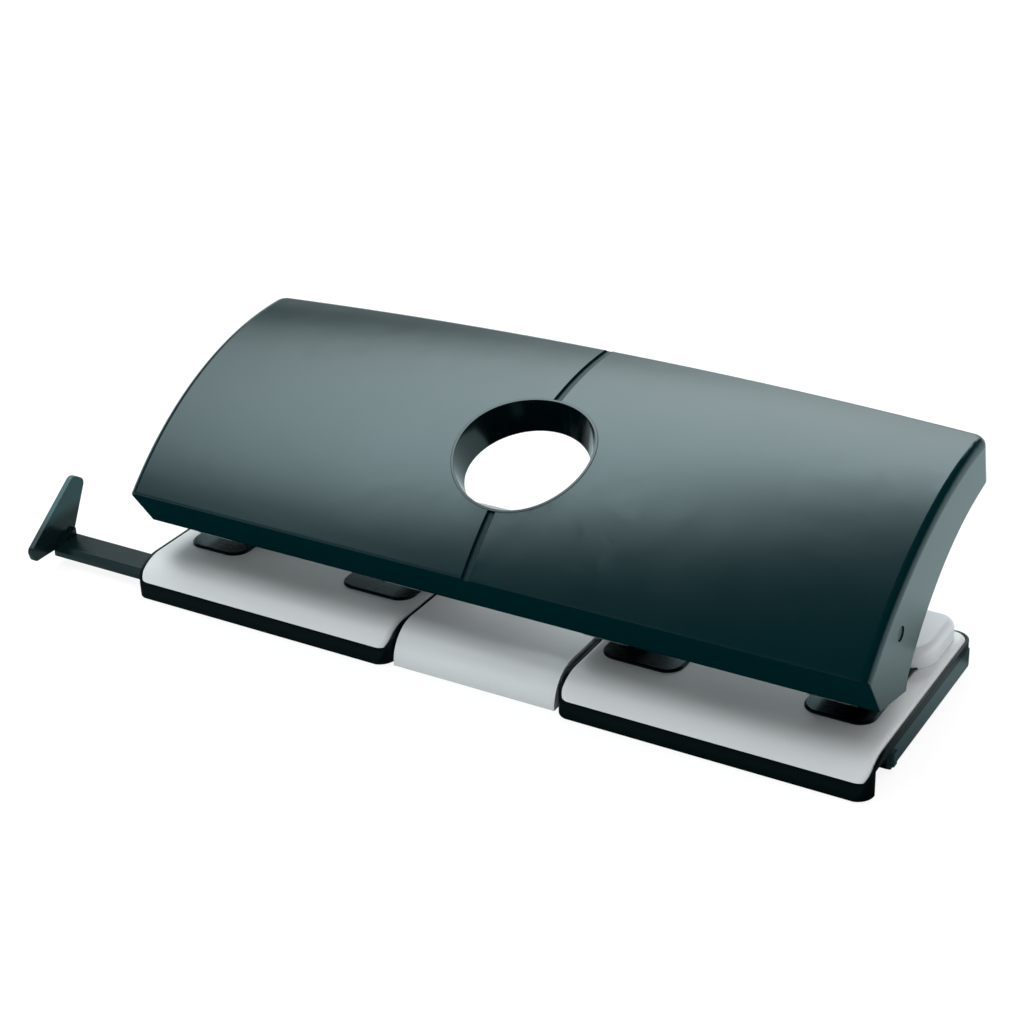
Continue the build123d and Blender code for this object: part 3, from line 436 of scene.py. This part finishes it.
world = bpy.data.worlds.new("studio")
bpy.context.scene.world = world
world.use_nodes = True
tree = world.node_tree
back = tree.nodes["Background"]
path, seen = seen_directly(tree)
tree.links.new(tinted(tree, seen, STUDIO_HUE, (1, 1, 1)), back.inputs["Color"])
across, along, up = split(tree, tree.nodes.new("ShaderNodeTexCoord").outputs["Generated"])
height = combine(tree, "MAXIMUM", up, LOWEST)
u = combine(tree, "DIVIDE", across, height)
v = combine(tree, "DIVIDE", along, height)
straight_edge = line(tree, v, RIGHT_SLANT, STRIP_RIGHT)
strip_edge = line(tree, combine(tree, "MINIMUM", v, 0.0), FRONT_SLANT, straight_edge)
past_right = combine(tree, "SUBTRACT", u, strip_edge)
turned = combine(tree, "ADD", v, line(tree, u, FRONT_TURN, -FRONT_TURN * TURN_ABOUT))
past_left = combine(tree, "SUBTRACT", u, line(tree, v, LEFT_SLANT, STRIP_LEFT))
strip = smooth(tree, past_right, -RIGHT_SOFT, RIGHT_SOFT, 1, 0)
for share in (smooth(tree, past_left, -LEFT_SOFT, LEFT_SOFT, 0, 1),
              smooth(tree, turned, *STRIP_FRONT, 0, 1),
              combine(tree, "MAXIMUM", line(tree, v, -1 / STRIP_END, 1.0), 0.0),
              smooth(tree, up, *STRIP_RISE, 0, 1)):
    strip = combine(tree, "MULTIPLY", strip, share)
walls = combine(tree, "MULTIPLY", studio_level(tree, across, along, WALL_SPREAD),
                smooth(tree, up, *WALL_TOP, 1, 0))
studio = combine(tree, "MULTIPLY_ADD", strip, STRIP_PEAK, walls)
tree.links.new(blend(tree, seen, studio, 1.0), back.inputs["Strength"])


def fill_light(name, centre, target, size, radiance, color=(1, 1, 1)):
    """Soft rectangular light that fills shadows and isn't mirrored."""
    data = bpy.data.lights.new(name, "AREA")
    data.shape = "RECTANGLE"
    data.size, data.size_y = size
    data.energy = radiance * pi * size[0] * size[1]
    data.color = color
    lamp = bpy.data.objects.new(name, data)
    bpy.context.scene.collection.objects.link(lamp)
    aim = (Vector(target) - Vector(centre)).to_track_quat("-Z", "Y")
    lamp.matrix_world = Matrix.Translation(centre) @ aim.to_matrix().to_4x4()
    lamp.visible_glossy = False


fill_light("top_fill", (0, 0.2, 1.6), (0, 0, 0), (2.4, 2.4), 1.55)
fill_light("front_fill", (-0.3, -0.9, 0.3), (-0.05, -0.03, 0), (1.5, 0.5), 2.2, (0.92, 1.0, 1.0))
fill_light("side_fill", (1.1, 0.5, 0.5), (0.1, 0, 0), (1.2, 0.8), 1.4)

# the photograph's camera, worked out from the lever's edges
CAM_AZIMUTH = radians(31.317)
CAM_ELEVATION = radians(27.168)
CAM_ROLL = radians(-2.021)
CAM_AIM = (14.154 * MM, 59.697 * MM)     # sideways and upwards from the picture's middle
CAM_DISTANCE = 721.255 * MM
CAM_ORIGIN_Y = -42.7 * MM                # the lever's front edge
FOCAL_PX = 2159.4
SENSOR_MM = 36.0

towards = Vector((sin(CAM_AZIMUTH) * cos(CAM_ELEVATION), -cos(CAM_AZIMUTH) * cos(CAM_ELEVATION),
                  sin(CAM_ELEVATION)))
right = Vector((cos(CAM_AZIMUTH), sin(CAM_AZIMUTH), 0))
up = towards.cross(right)
turned_right = cos(CAM_ROLL) * right + sin(CAM_ROLL) * up
turned_up = cos(CAM_ROLL) * up - sin(CAM_ROLL) * right
cam = bpy.data.cameras.new("camera")
cam.sensor_fit = "HORIZONTAL"
cam.sensor_width = SENSOR_MM
cam.lens = SENSOR_MM * FOCAL_PX / 1024
cam.clip_start = 0.01
camera = bpy.data.objects.new("camera", cam)
bpy.context.scene.collection.objects.link(camera)
turn = Matrix((turned_right, turned_up, towards)).transposed()
eye = turned_right * CAM_AIM[0] + turned_up * CAM_AIM[1] + towards * CAM_DISTANCE
camera.matrix_world = Matrix.Translation(eye + Vector((0, CAM_ORIGIN_Y, 0))) @ turn.to_4x4()
bpy.context.scene.camera = camera
bpy.context.scene.view_settings.view_transform = "Standard"
